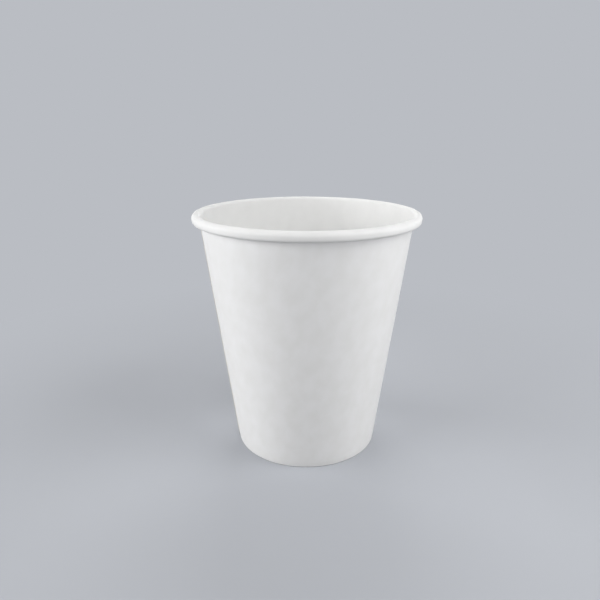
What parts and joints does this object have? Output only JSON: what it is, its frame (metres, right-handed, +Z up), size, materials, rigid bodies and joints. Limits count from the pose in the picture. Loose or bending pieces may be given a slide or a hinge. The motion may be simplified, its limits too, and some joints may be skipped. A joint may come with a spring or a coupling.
{
  "type": "paper coffee cup",
  "caption": "Plain white paper cup for hot drinks: tapered wall with a lapped side seam, a rolled rim and a base recessed above a folded foot.",
  "frame": {"origin": "on the cup's axis, in the plane that the foot stands on", "axes": "+Z up along the cup's axis, from the foot to the rim; +X and +Y lie in the plane of the foot, with the side seam near -X"},
  "size_m": [0.09, 0.09, 0.0977],
  "materials": {
    "wall_board": "coated board, satin",
    "base_board": "coated board, satin"
  },
  "bodies": {
    "root": {"side_wall": "wall_board", "base": "base_board"}
  },
  "joints": []
}
